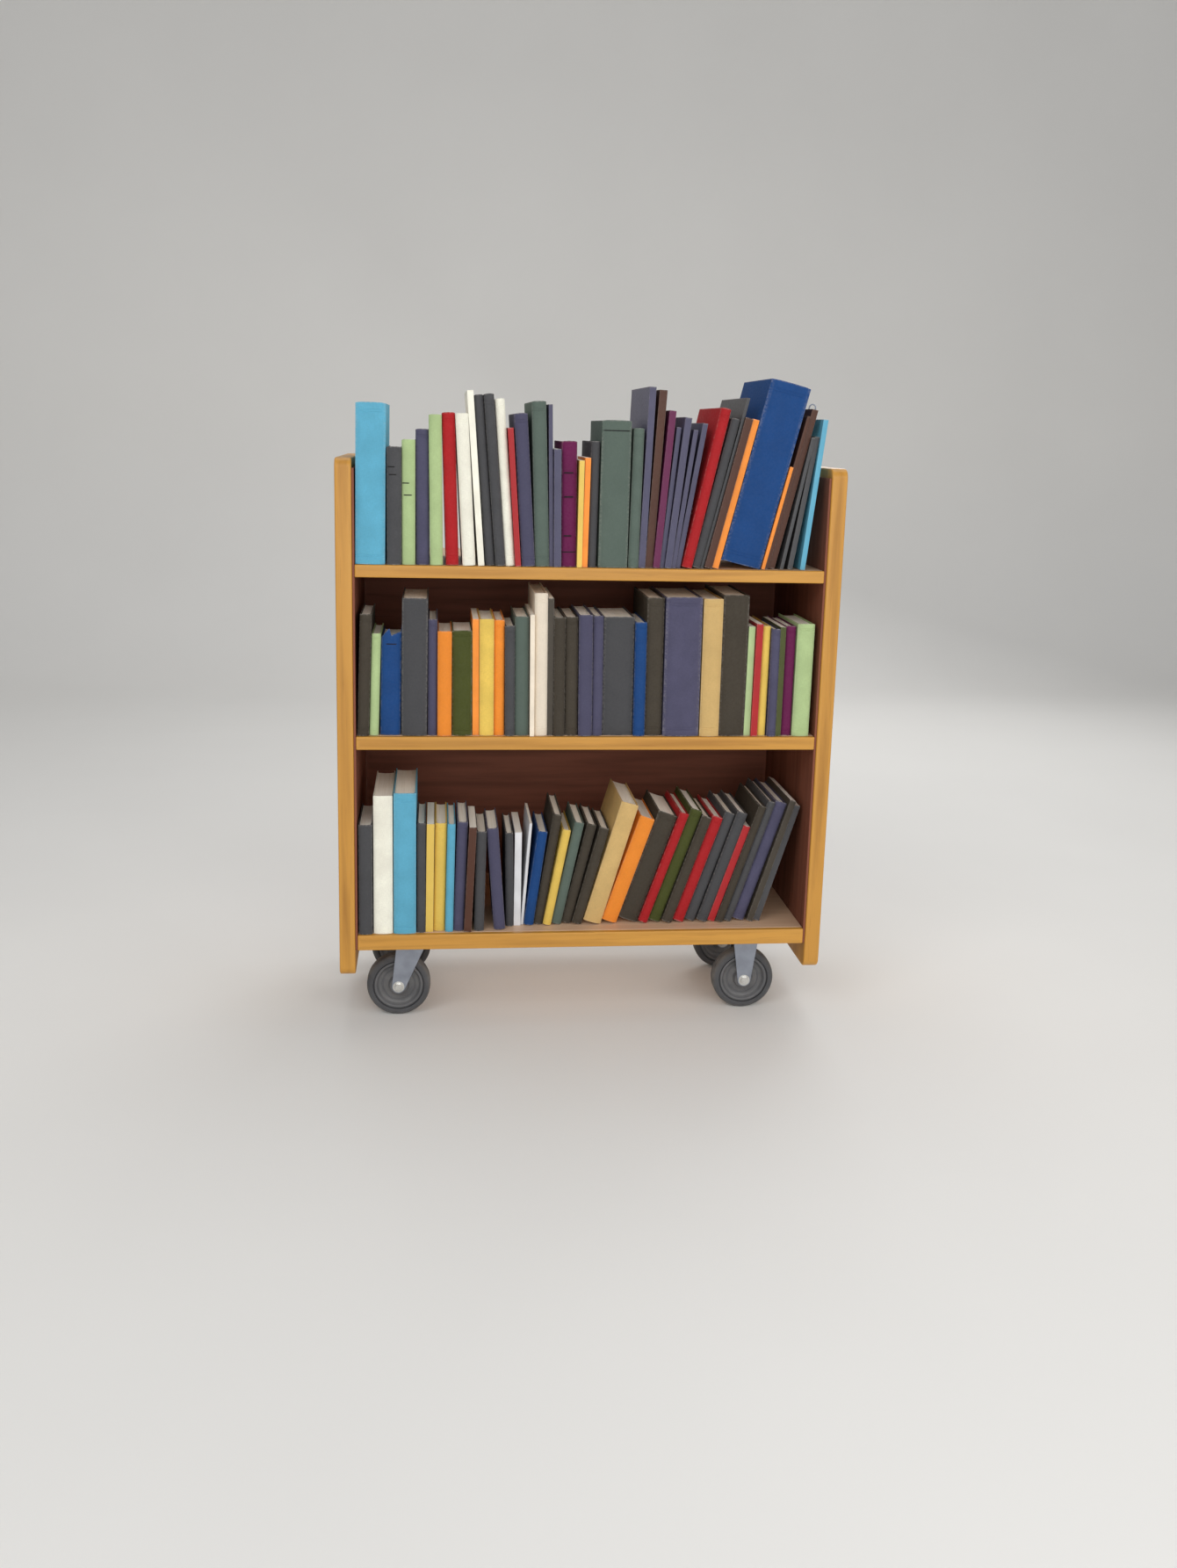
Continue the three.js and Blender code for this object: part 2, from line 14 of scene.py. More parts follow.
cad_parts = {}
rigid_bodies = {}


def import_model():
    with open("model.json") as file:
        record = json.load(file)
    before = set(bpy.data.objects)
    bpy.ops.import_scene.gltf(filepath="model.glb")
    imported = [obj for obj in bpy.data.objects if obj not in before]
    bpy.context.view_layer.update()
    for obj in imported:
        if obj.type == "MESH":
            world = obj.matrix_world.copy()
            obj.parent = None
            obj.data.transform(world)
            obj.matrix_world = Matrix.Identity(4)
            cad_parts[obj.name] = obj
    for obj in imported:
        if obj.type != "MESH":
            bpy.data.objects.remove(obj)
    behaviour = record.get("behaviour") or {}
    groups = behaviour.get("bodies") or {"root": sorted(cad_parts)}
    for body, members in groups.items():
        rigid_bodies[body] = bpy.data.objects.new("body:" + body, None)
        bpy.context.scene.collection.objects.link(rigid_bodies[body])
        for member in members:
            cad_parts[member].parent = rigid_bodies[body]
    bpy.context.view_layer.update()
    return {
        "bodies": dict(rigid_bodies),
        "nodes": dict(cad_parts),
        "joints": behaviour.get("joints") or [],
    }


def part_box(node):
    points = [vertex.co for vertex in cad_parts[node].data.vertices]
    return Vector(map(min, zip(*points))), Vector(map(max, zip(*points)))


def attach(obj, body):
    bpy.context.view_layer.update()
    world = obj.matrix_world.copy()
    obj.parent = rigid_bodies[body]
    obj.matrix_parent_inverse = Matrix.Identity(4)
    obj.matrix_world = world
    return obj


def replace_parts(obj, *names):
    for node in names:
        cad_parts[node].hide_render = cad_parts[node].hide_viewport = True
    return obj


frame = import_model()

MM = 0.001
ON_AXIS = 0.01 * MM  # radius of a turned profile's ends, so that its two faces stay closed

# ---- Camera ----

CAMERA_AZIMUTH = math.radians(-6.54)
CAMERA_DISTANCE = 2.7
CAMERA_SIDEWAYS = 0.018
CAMERA_HEIGHT = 1.15
CAMERA_PITCH = math.radians(11.41)
CAMERA_ROLL = math.radians(1.48)
CAMERA_LENS = 31.3
CAMERA_SHIFT = -0.05


def make_camera():
    camera = bpy.data.objects.new("camera", bpy.data.cameras.new("camera"))
    camera.data.lens = CAMERA_LENS
    camera.data.shift_y = CAMERA_SHIFT
    turn = Matrix.Rotation(CAMERA_AZIMUTH, 4, "Z")
    tilt = Matrix.Rotation(math.radians(90) - CAMERA_PITCH, 4, "X")
    roll = Matrix.Rotation(CAMERA_ROLL, 4, "Z")
    place = turn @ Vector((0.0, -CAMERA_DISTANCE, CAMERA_HEIGHT)) + Vector((CAMERA_SIDEWAYS, 0.0, 0.0))
    camera.matrix_world = Matrix.Translation(place) @ turn @ tilt @ roll
    bpy.context.scene.collection.objects.link(camera)
    bpy.context.scene.camera = camera


# ---- Materials ----


def linear(hex_colour):
    """An sRGB hex colour as the linear colour that a shader takes."""
    channels = [int(hex_colour[i:i + 2], 16) / 255 for i in (0, 2, 4)]
    bent = [c / 12.92 if c <= 0.04045 else ((c + 0.055) / 1.055) ** 2.4 for c in channels]
    return (*bent, 1.0)


def shade(hex_colour, factor):
    """A colour made lighter (above 1) or darker (below 1)."""
    return (*[min(1.0, channel * factor) for channel in linear(hex_colour)[:3]], 1.0)


class Surface:
    """A Principled material, with short calls that add its nodes and wire them."""

    def __init__(self, name, shine=0.5, **constants):
        self.material = bpy.data.materials.new(name)
        self.material.use_nodes = True
        self.tree = self.material.node_tree
        self.shader = self.tree.nodes["Principled BSDF"]
        for key, value in constants.items():
            self.shader.inputs[key.replace("_", " ").title()].default_value = value
        self.shader.inputs["Specular IOR Level"].default_value = shine

    def wire(self, value, socket):
        if isinstance(value, bpy.types.NodeSocket):
            self.tree.links.new(value, socket)
        else:
            socket.default_value = value

    def add(self, kind, inputs, **settings):
        node = self.tree.nodes.new(kind)
        for key, value in settings.items():
            setattr(node, key, value)
        for key, value in inputs.items():
            self.wire(value, node.inputs[key])
        return node

    def place(self, scale=(1, 1, 1), shift=None):
        """The object's own coordinates, stretched, and moved by a value so that pieces differ."""
        own = self.add("ShaderNodeTexCoord", {}).outputs["Object"]
        mapping = self.add("ShaderNodeMapping", {"Vector": own, "Scale": scale})
        if shift is not None:
            self.wire(shift, mapping.inputs["Location"])
        return mapping.outputs["Vector"]

    def noise(self, vector, scale, detail=4.0, distortion=0.0):
        inputs = {"Vector": vector, "Scale": scale, "Detail": detail, "Distortion": distortion}
        return self.add("ShaderNodeTexNoise", inputs).outputs["Fac"]

    def attribute(self, name):
        return self.add("ShaderNodeAttribute", {}, attribute_name=name).outputs["Fac"]

    def span(self, value, low, high, new_low=0.0, new_high=1.0):
        """A value moved from one range to another, and kept inside it."""
        inputs = {"Value": value, "From Min": low, "From Max": high, "To Min": new_low, "To Max": new_high}
        return self.add("ShaderNodeMapRange", inputs).outputs["Result"]

    def sum(self, operation, first, second):
        return self.add("ShaderNodeMath", {0: first, 1: second}, operation=operation).outputs[0]

    def mix(self, factor, first, second, blend_type="MIX"):
        inputs = {0: factor, 6: first, 7: second}
        node = self.add("ShaderNodeMix", inputs, data_type="RGBA", blend_type=blend_type)
        return node.outputs[2]

    def bump(self, height, distance, strength=1.0):
        node = self.add("ShaderNodeBump", {"Height": height, "Distance": distance, "Strength": strength})
        self.wire(node.outputs["Normal"], self.shader.inputs["Normal"])

    def finish(self, colour, roughness):
        self.wire(colour, self.shader.inputs["Base Color"])
        self.wire(roughness, self.shader.inputs["Roughness"])
        return self.material


def wood(name, tones, along, figure=1.0, gloss=(0.34, 0.52), varnish=0.1):
    """Wood in three tones, from light to dark, whose grain runs along axis number along."""
    light, middle, dark = [linear(tone) for tone in tones]
    surface = Surface(name, 0.4 if varnish else 0.25, coat_weight=varnish, coat_roughness=0.25)
    stretch = [1.0, 1.0, 1.0]
    stretch[along] = 0.055
    pore_stretch = [1.0, 1.0, 1.0]
    pore_stretch[along] = 0.03
    grain = surface.place(stretch)
    clouds = surface.noise(grain, 9.0, 3.0, 0.8)
    streaks = surface.noise(grain, 62.0, 6.0, 0.4)
    fibres = surface.noise(surface.place(pore_stretch), 420.0, 3.0)
    pores = surface.span(fibres, 0.62, 0.74)
    broad = surface.mix(surface.span(clouds, 0.3, 0.7), middle, light)
    lined = surface.mix(surface.span(streaks, 0.42, 0.78, 0.0, 0.75 * figure), broad, dark)
    pored = surface.mix(surface.sum("MULTIPLY", pores, 0.5 * figure), lined, dark)
    worn = surface.sum("MULTIPLY", surface.attribute("wear"), surface.span(streaks, 0.35, 0.6, 0.15, 0.7))
    colour = surface.mix(worn, pored, light)
    relief = surface.sum("SUBTRACT", surface.sum("MULTIPLY", streaks, 0.35), pores)
    surface.bump(relief, 0.12 * MM, 0.5)
    return surface.finish(colour, surface.span(streaks, 0.3, 0.8, *gloss))


def metal(name, colour, roughness, brushed=(1, 1, 1)):
    """Plated steel with fine drawing lines and a little dulling."""
    surface = Surface(name, metallic=0.85)
    lines = surface.noise(surface.place(brushed), 900.0, 3.0)
    clouds = surface.noise(surface.place(), 45.0, 3.0)
    tone = surface.mix(surface.span(clouds, 0.35, 0.7), shade(colour, 0.86), shade(colour, 1.06))
    surface.bump(lines, 0.05 * MM, 0.4)
    mixed = surface.sum("ADD", surface.sum("MULTIPLY", lines, 0.2), surface.sum("MULTIPLY", clouds, 0.15))
    return surface.finish(tone, surface.sum("ADD", mixed, roughness - 0.17))


def moulded(name, colour, dust, roughness, grain_scale, relief):
    """Moulded rubber or plastic, with a fine grain and dust where its wear attribute is high."""
    surface = Surface(name)
    fine = surface.noise(surface.place(), grain_scale, 4.0)
    clouds = surface.noise(surface.place(), 38.0, 4.0)
    tone = surface.mix(surface.span(clouds, 0.35, 0.7), shade(colour, 0.9), shade(colour, 1.08))
    dusty = surface.sum("MULTIPLY", surface.attribute("wear"), surface.span(clouds, 0.35, 0.65, 0.1, 0.6))
    surface.bump(fine, relief, 0.6)
    gloss = surface.span(fine, 0.2, 0.8, roughness - 0.08, roughness + 0.08)
    return surface.finish(surface.mix(dusty, tone, dust), gloss)


def cover(name, colour, cloth):
    """Book cloth, or the coated paper of a paperback. Wear, ink and tone come from the book's mesh."""
    surface = Surface(name, 0.25 if cloth else 0.3, coat_weight=0.0 if cloth else 0.08, coat_roughness=0.35)
    tone = surface.attribute("tone")
    own_part = surface.sum("MULTIPLY", tone, 31.0)
    threads_up = surface.noise(surface.place((1.0, 1.0, 0.12)), 1300.0, 2.0)
    threads_over = surface.noise(surface.place((0.12, 0.12, 1.0)), 1300.0, 2.0)
    weave = surface.sum("ADD", threads_up, threads_over)
    clouds = surface.noise(surface.place(shift=own_part), 26.0, 5.0)
    scuffs = surface.noise(surface.place(shift=own_part), 240.0, 6.0)
    faded = surface.mix(surface.span(clouds, 0.35, 0.7), shade(colour, 0.9), shade(colour, 1.08))
    toned = surface.mix(tone, faded, shade(colour, 0.84))
    contrast = 0.3 if cloth else 0.0
    woven = surface.mix(surface.span(weave, 0.8, 1.2, 0.0, contrast), toned, shade(colour, 0.68))
    wear = surface.sum("MULTIPLY", surface.attribute("wear"), surface.span(scuffs, 0.42, 0.6, 0.0, 0.32))
    edge_worn = surface.mix(wear, woven, (0.62, 0.58, 0.52, 1.0))
    inked = surface.mix(surface.attribute("ink"), edge_worn, linear("1b191a"))
    relief = surface.sum("ADD", weave, surface.sum("MULTIPLY", scuffs, 0.5)) if cloth else scuffs
    surface.bump(relief, 0.1 * MM, 0.5 if cloth else 0.2)
    low, high = (0.62, 0.85) if cloth else (0.42, 0.58)
    return surface.finish(inked, surface.span(scuffs, 0.3, 0.7, low, high))


def paper():
    """The cut edges of a block of pages, with the leaves as fine lines across its thickness."""
    surface = Surface("pages")
    own_part = surface.sum("MULTIPLY", surface.attribute("tone"), 23.0)
    leaves = surface.noise(surface.place((1.0, 0.012, 0.012), own_part), 1500.0, 3.0)
    sections = surface.noise(surface.place((1.0, 0.02, 0.02), own_part), 330.0, 2.0)
    age = surface.noise(surface.place(shift=own_part), 18.0, 4.0)
    aged = surface.mix(surface.span(age, 0.35, 0.75, 0.0, 0.5), linear("fefcf5"), linear("f9f3e4"))
    toned = surface.mix(surface.sum("MULTIPLY", surface.attribute("tone"), 0.5), aged, linear("f5ecd8"))
    lines = surface.mix(surface.span(sections, 0.5, 0.72, 0.0, 0.3), toned, linear("ddd2b9"))
    leafed = surface.mix(surface.span(leaves, 0.45, 0.75, 0.0, 0.3), lines, linear("e6dcc6"))
    banded = surface.mix(surface.attribute("ink"), leafed, linear("9a3b34"))
    surface.bump(leaves, 0.15 * MM, 0.6)
    return surface.finish(banded, 0.85)


def stage_surface():
    surface = Surface("stage")
    haze = surface.noise(surface.place(), 1.5, 2.0)
    return surface.finish(surface.mix(haze, linear("e6e4e0"), linear("eceae6")), 0.9)


OAK_TONES = ("cf963f", "be8634", "946121")
# Painted shade: this dark brown, used on the back panels and inner liners, stands for the shade inside the
# compartments rather than for a darker wood.
PAINTED_SHADE_TONES = ("8b5440", "784633", "563225")
PALE_TONES = ("dfbb9b", "d8b291", "bd9270")
OAK_UP = wood("golden_oak_upright", OAK_TONES, 2)
OAK_ACROSS = wood("golden_oak_across", OAK_TONES, 0)
PAINTED_SHADE_UP = wood("dark_board_upright", PAINTED_SHADE_TONES, 2, 0.8, (0.6, 0.75), 0.0)
PAINTED_SHADE_ACROSS = wood("dark_board_across", PAINTED_SHADE_TONES, 0, 0.8, (0.6, 0.75), 0.0)
PALE = wood("pale_board", PALE_TONES, 0, 0.6, (0.38, 0.52))
FORK_STEEL = metal("fork_steel", "9ca2ae", 0.38, (1.0, 1.0, 0.08))
ZINC = metal("zinc", "e2e2de", 0.3)
WHEEL_PLASTIC = moulded("wheel_plastic", "5a5a5c", linear("8a8782"), 0.5, 500.0, 0.05 * MM)
TYRE_RUBBER = moulded("tyre_rubber", "4c4c4e", linear("8d8982"), 0.8, 900.0, 0.12 * MM)
PAPER = paper()
COVER_COLOURS = {
    "sky": "62aeca", "charcoal": "4c4c4e", "leaf": "b2c88f", "slate": "504e66", "red": "b01f24",
    "white": "f9f5e4", "sage": "5d6b62", "plum": "671a4a", "yellow": "eac65e", "orange": "f79233",
    "brown": "523021", "blue": "194680", "umber": "453e34", "olive": "484e20", "cream": "f4e6d1",
    "tan": "d4b173", "silver": "dfdfe1",
}
CLOTH = {key: cover(f"cloth_{key}", value, True) for key, value in COVER_COLOURS.items()}
COATED = {key: cover(f"coated_{key}", value, False) for key, value in COVER_COLOURS.items()}

# ---- Mesh helpers ----


def loft(loops, closed=True, ring=False, caps=True):
    """Vertices and faces that join equal loops of points, each to the next."""
    count = len(loops[0])
    vertices = [point for loop in loops for point in loop]
    faces = []
    for i in range(len(loops) if ring else len(loops) - 1):
        here = i * count
        there = (i + 1) % len(loops) * count
        for k in range(count if closed else count - 1):
            after = (k + 1) % count
            faces.append((here + k, here + after, there + after, there + k))
    if caps and closed and not ring:
        faces.append(tuple(range(count)))
        faces.append(tuple(range(len(vertices) - count, len(vertices))))
    return vertices, faces


def make_piece(name, parts, material, body, slot, smooth_angle=35.0, attributes=None, place=None, lean=0.0):
    """One object from (vertices, faces) parts, with its faces turned outward, that rides on a body."""
    vertices = []
    faces = []
    for part_vertices, part_faces in parts:
        start = len(vertices)
        vertices.extend(part_vertices)
        faces.extend(tuple(start + index for index in face) for face in part_faces)
    mesh = bpy.data.meshes.new(name)
    mesh.from_pydata([tuple(v) for v in vertices], [], faces)
    for key, values in (attributes or {}).items():
        mesh.attributes.new(key, "FLOAT", "POINT").data.foreach_set("value", values)
    shell = bmesh.new()
    shell.from_mesh(mesh)
    bmesh.ops.recalc_face_normals(shell, faces=shell.faces)
    shell.to_mesh(mesh)
    shell.free()
    mesh.materials.append(material)
    mesh.shade_smooth()
    mesh.set_sharp_from_angle(angle=math.radians(smooth_angle))
    obj = bpy.data.objects.new(name, mesh)
    obj.location = place or (0.0, 0.0, 0.0)
    obj.rotation_euler = (0.0, lean, 0.0)
    bpy.context.scene.collection.objects.link(obj)
    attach(obj, body)
    return obj


def ease_edges(obj, width, segments=2):
    bevel = obj.modifiers.new("eased_edges", "BEVEL")
    bevel.width = width
    bevel.segments = segments
    bevel.limit_method = "ANGLE"
    bevel.angle_limit = math.radians(35.0)
    bevel.harden_normals = True
    return obj


def rounded_loop(half_u, half_v, radius, steps=8):
    """Points round a rectangle with round corners, centred on 0."""
    points = []
    for corner in range(4):
        sign_u = 1 if corner in (0, 3) else -1
        sign_v = 1 if corner in (0, 1) else -1
        for step in range(steps + 1):
            angle = math.radians(90 * (corner + step / steps))
            u = sign_u * (half_u - radius) + radius * math.cos(angle)
            v = sign_v * (half_v - radius) + radius * math.sin(angle)
            points.append((u, v))
    return points


EDGE_STEPS = 3
WEAR_REACH = 6 * MM


def slab(low, high, corner, edge):
    """A board between two corners of space, with round corners and eased edges, and its wear."""
    size = high - low
    centre = (low + high) / 2
    thin = min(range(3), key=lambda axis: size[axis])
    across, along = [axis for axis in range(3) if axis != thin]
    thickness = size[thin]
    levels = [(edge + WEAR_REACH, 0.0, 0.0)]
    for step in range(EDGE_STEPS + 1):
        angle = math.radians(90 * step / EDGE_STEPS)
        levels.append((edge * (1 - math.sin(angle)), edge * (1 - math.cos(angle)), 1.0))
    if thickness > 2 * (edge + WEAR_REACH):
        levels.append((0.0, edge + WEAR_REACH, 0.0))
    levels += [(inset, thickness - depth, wear) for inset, depth, wear in reversed(levels)]
    loops = []
    wear_values = []
    for inset, depth, wear in levels:
        loop = []
        radius = max(corner - inset, 0.2 * MM)
        for u, v in rounded_loop(size[across] / 2 - inset, size[along] / 2 - inset, radius):
            point = Vector((0.0, 0.0, 0.0))
            point[thin] = depth - thickness / 2
            point[across] = u
            point[along] = v
            loop.append(centre + point)
            wear_values.append(wear)
        loops.append(loop)
    return loft(loops), wear_values


def turned(profile, centre, axis, segments=96):
    """A closed profile of (radius, distance along the axis, wear), turned about Y (1) or Z (2)."""
    loops = []
    wear_values = []
    for step in range(segments):
        angle = 2 * math.pi * step / segments
        side, up = math.cos(angle), math.sin(angle)
        if axis == 1:
            loops.append([centre + Vector((r * side, d, r * up)) for r, d, _ in profile])
        else:
            loops.append([centre + Vector((r * side, r * up, d)) for r, d, _ in profile])
        wear_values += [wear for _, _, wear in profile]
    return loft(loops, ring=True), wear_values


def hexagon_head(centre, radius, height, axis, chamfer=0.6 * MM):
    """A bolt head with a chamfered rim. Its far end is at centre plus height along the axis."""
    loops = []
    sign = 1 if height > 0 else -1
    for inset, depth in ((0.0, 0.0), (0.0, height - sign * chamfer), (chamfer, height)):
        loop = []
        for corner in range(6):
            angle = math.radians(60 * corner)
            a = (radius - inset) * math.cos(angle)
            b = (radius - inset) * math.sin(angle)
            loop.append(centre + (Vector((a, depth, b)) if axis == 1 else Vector((a, b, depth))))
        loops.append(loop)
    return loft(loops)


# ---- Carcass ----

PANEL_CORNER = 18 * MM
SQUARE_CORNER = 1.0 * MM


def board(node, material, slot, corner, edge):
    part, wear = slab(*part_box(node), corner, edge)
    obj = make_piece(f"{node}_board", [part], material, "cart", slot, attributes={"wear": wear})
    obj.modifiers.new("flat_faces", "WEIGHTED_NORMAL").keep_sharp = True
    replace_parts(obj, node)


def carcass():
    # The inner liners are dark sheets of painted shade over the end panels' inner faces.
    for side in ("left", "right"):
        board(f"{side}_end_panel", OAK_UP, "golden_oak", PANEL_CORNER, 3 * MM)
        board(f"{side}_inner_liner", PAINTED_SHADE_UP, "dark_board", SQUARE_CORNER, 0.6 * MM)
    for level in ("top", "middle", "bottom"):
        board(f"{level}_shelf", PALE, "pale_board", SQUARE_CORNER, 0.8 * MM)
        board(f"{level}_shelf_front_edge", OAK_ACROSS, "golden_oak", 2 * MM, 2 * MM)
    # The back panels take the same painted shade brown.
    for name in ("lower_back_panel", "upper_back_panel"):
        board(name, PAINTED_SHADE_ACROSS, "dark_board", SQUARE_CORNER, 0.6 * MM)


CAP_RADIUS = 6.5 * MM
CAP_ROUNDING = 0.5 * MM
CAP_HEIGHT = 1.2 * MM
CAP_Y = 0.13
CAP_STEPS = 32
# Radius, and distance from the panel as a share of the cap's height.
CAP_PROFILE = [
    (ON_AXIS, 0.0), (CAP_RADIUS, 0.0), (CAP_RADIUS, 0.4), (CAP_RADIUS - CAP_ROUNDING, 0.8), (ON_AXIS, 1.0),
]


def screw_caps(side):
    """Round caps over the panel fixings, two at the end of each shelf."""
    low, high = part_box(f"{side}_end_panel")
    sign = -1 if side == "left" else 1
    face = low.x if side == "left" else high.x
    parts = []
    for level in ("top", "middle", "bottom"):
        shelf_low, shelf_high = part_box(f"{level}_shelf")
        for y in (-CAP_Y, CAP_Y):
            centre = Vector((face, y, (shelf_low.z + shelf_high.z) / 2))
            loops = []
            for step in range(CAP_STEPS):
                angle = 2 * math.pi * step / CAP_STEPS
                around = Vector((0.0, math.cos(angle), math.sin(angle)))
                loop = [(r, Vector((sign * d * CAP_HEIGHT, 0, 0))) for r, d in CAP_PROFILE]
                loops.append([centre + r * around + out for r, out in loop])
            parts.append(loft(loops, ring=True))
    make_piece(f"{side}_screw_caps", parts, OAK_ACROSS, "cart", "golden_oak")


# ---- Casters ----

FORK_SHEET = 3 * MM
FORK_BEND = 6 * MM
FORK_EYE_RADIUS = 13 * MM
CROWN_BESIDE_AXLE = 4 * MM
BEND_STEPS = 6
EYE_STEPS = 10
LEG_STEPS = 24
ACROSS_STEPS = 6
RIGID_CROWN_HALF = 26 * MM
CROWN_SINKS_INTO_PLATE = 1 * MM
PLATE_SHEET = 3.5 * MM
PLATE_CORNER = 8 * MM
PLATE_BOLT_X = 36.5 * MM
PLATE_BOLT_Y = 23 * MM
PLATE_EDGE = 0.7 * MM
PLATE_WASHER = 1 * MM
PLATE_WASHER_RADIUS = 7 * MM
PLATE_SCREW_RADIUS = 5.6 * MM
PLATE_SCREW_HEIGHT = 3.2 * MM
NUT_GAP = 0.3 * MM  # between a fork's leg and its axle nut
EYE_START = 0.999  # just inside the eye's lowest point, so that the strip's end keeps a width


def tangent_x(corner_x, corner_z, axle_x, axle_z, height, side):
    """Edge of a fork leg at one height: straight from the crown's corner, then round the eye."""
    dx = corner_x - axle_x
    dz = corner_z - axle_z
    away = math.hypot(dx, dz)
    angle = math.atan2(dz, dx) - side * math.acos(FORK_EYE_RADIUS / away)
    touch_x = axle_x + FORK_EYE_RADIUS * math.cos(angle)
    touch_z = axle_z + FORK_EYE_RADIUS * math.sin(angle)
    if height >= touch_z:
        share = (height - touch_z) / (corner_z - touch_z)
        return touch_x + min(share, 1.0) * (corner_x - touch_x)
    drop = max(FORK_EYE_RADIUS ** 2 - (height - axle_z) ** 2, 0.0)
    return axle_x + side * math.sqrt(drop)


def fork_sheet(corner, top):
    """The folded sheet of a fork: a strip that goes up one leg, over the crown and down the other."""
    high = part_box(f"{corner}_fork")[1]
    axle = joint_place(f"{corner}_roll")
    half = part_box(f"{corner}_axle_nut")[0].y - axle.y - NUT_GAP
    if swivels(corner):
        crown = (axle.x - CROWN_BESIDE_AXLE, high.x)
    else:
        crown = (axle.x - RIGID_CROWN_HALF, axle.x + RIGID_CROWN_HALF)
    shoulder = top - FORK_BEND
    eye = [math.radians(-90 + 90 * step / EYE_STEPS) for step in range(EYE_STEPS)]
    heights = [axle.z + FORK_EYE_RADIUS * math.sin(angle) * EYE_START for angle in eye]
    heights += [axle.z + (shoulder - axle.z) * step / LEG_STEPS for step in range(LEG_STEPS)]
    path = [(half, height, 0.0) for height in heights]
    for step in range(BEND_STEPS + 1):
        angle = math.radians(90 * step / BEND_STEPS)
        y = half - FORK_BEND + FORK_BEND * math.cos(angle)
        path.append((y, shoulder + FORK_BEND * math.sin(angle), angle))
    path += [(-y, z, math.pi - angle) for y, z, angle in reversed(path)]
    loops = []
    for y, z, angle in path:
        left = tangent_x(crown[0], shoulder, axle.x, axle.z, z, -1)
        right = tangent_x(crown[1], shoulder, axle.x, axle.z, z, 1)
        across = [left + (right - left) * k / ACROSS_STEPS for k in range(ACROSS_STEPS + 1)]
        inner_y = axle.y + y - FORK_SHEET * math.cos(angle)
        inner_z = z - FORK_SHEET * math.sin(angle)
        outer = [Vector((x, axle.y + y, z)) for x in across]
        loops.append(outer + [Vector((x, inner_y, inner_z)) for x in reversed(across)])
    return loft(loops)


def joint_place(name):
    joint = next(joint for joint in frame["joints"] if joint["name"] == name)
    return Vector(joint["pos_m"])


def swivels(corner):
    return f"{corner}_swivel" in frame["bodies"]


def caster_body(corner):
    return f"{corner}_swivel" if swivels(corner) else "cart"


def fork(corner):
    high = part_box(f"{corner}_fork")[1]
    top = high.z if swivels(corner) else high.z - PLATE_SHEET + CROWN_SINKS_INTO_PLATE
    name = f"{corner}_folded_fork"
    obj = make_piece(name, [fork_sheet(corner, top)], FORK_STEEL, caster_body(corner), "fork_steel", 30.0)
    ease_edges(obj, PLATE_EDGE)
    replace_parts(obj, f"{corner}_fork")


def plate(corner):
    """The plate that a caster hangs from, with its four screws and washers."""
    node = f"{corner}_top_plate" if swivels(corner) else f"{corner}_fork"
    low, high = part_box(node)
    low = Vector((low.x, low.y, high.z - PLATE_SHEET))
    part, _ = slab(low, high, PLATE_CORNER, PLATE_EDGE)
    obj = make_piece(f"{corner}_mounting_plate", [part], FORK_STEEL, "cart", "fork_steel")
    if swivels(corner):
        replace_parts(obj, node)
    centre = (low + high) / 2
    rim = PLATE_WASHER_RADIUS
    washer = [(ON_AXIS, 0, 0), (rim, 0, 0), (rim, -PLATE_WASHER, 0), (ON_AXIS, -PLATE_WASHER, 0)]
    parts = []
    for x in (-PLATE_BOLT_X, PLATE_BOLT_X):
        for y in (-PLATE_BOLT_Y, PLATE_BOLT_Y):
            at = Vector((centre.x + x, centre.y + y, low.z))
            parts.append(turned(washer, at, 2, 24)[0])
            under = at - Vector((0, 0, PLATE_WASHER))
            parts.append(hexagon_head(under, PLATE_SCREW_RADIUS, -PLATE_SCREW_HEIGHT, 2))
    ease_edges(make_piece(f"{corner}_plate_screws", parts, ZINC, "cart", "zinc"), 0.2 * MM)


# Half profiles in mm: radius, distance from the wheel's middle, and wear.
TYRE_PROFILE = [
    (62.5, 0.0, 1.0), (62.5, 4.4, 1.0), (61.9, 4.8, 0.3), (61.9, 5.9, 0.3), (62.5, 6.3, 1.0),
    (62.2, 9.8, 1.0), (61.2, 12.3, 0.7), (59.4, 14.3, 0.3), (57.0, 15.5, 0.1), (54.4, 15.9, 0.0),
    (51.0, 15.9, 0.0), (50.4, 15.4, 0.0), (50.2, 11.5, 0.0), (48.2, 11.5, 0.0), (48.2, 0.0, 0.0),
]
CORE_PROFILE = [
    (47.8, 0.0, 0.0), (47.8, 14.0, 0.0), (47.0, 14.5, 0.2), (43.8, 14.5, 0.2), (42.8, 13.8, 0.0),
    (40.2, 8.4, 0.4), (38.8, 7.4, 0.5), (33.6, 7.0, 0.3), (33.0, 7.8, 0.0), (31.0, 7.8, 0.0),
    (30.4, 7.0, 0.3), (22.6, 7.4, 0.5), (20.4, 8.6, 0.4), (18.0, 17.6, 0.0), (16.8, 18.5, 0.2),
    (9.6, 18.7, 0.2), (8.6, 17.8, 0.0), (7.9, 17.0, 0.0), (7.9, 0.0, 0.0),
]


def both_sides(profile):
    """A half profile, given from its middle on +Y, closed by its mirror on -Y. In metres."""
    half = [(r * MM, d * MM, wear) for r, d, wear in profile]
    return half + [(r, -d, wear) for r, d, wear in reversed(half[1:-1])]


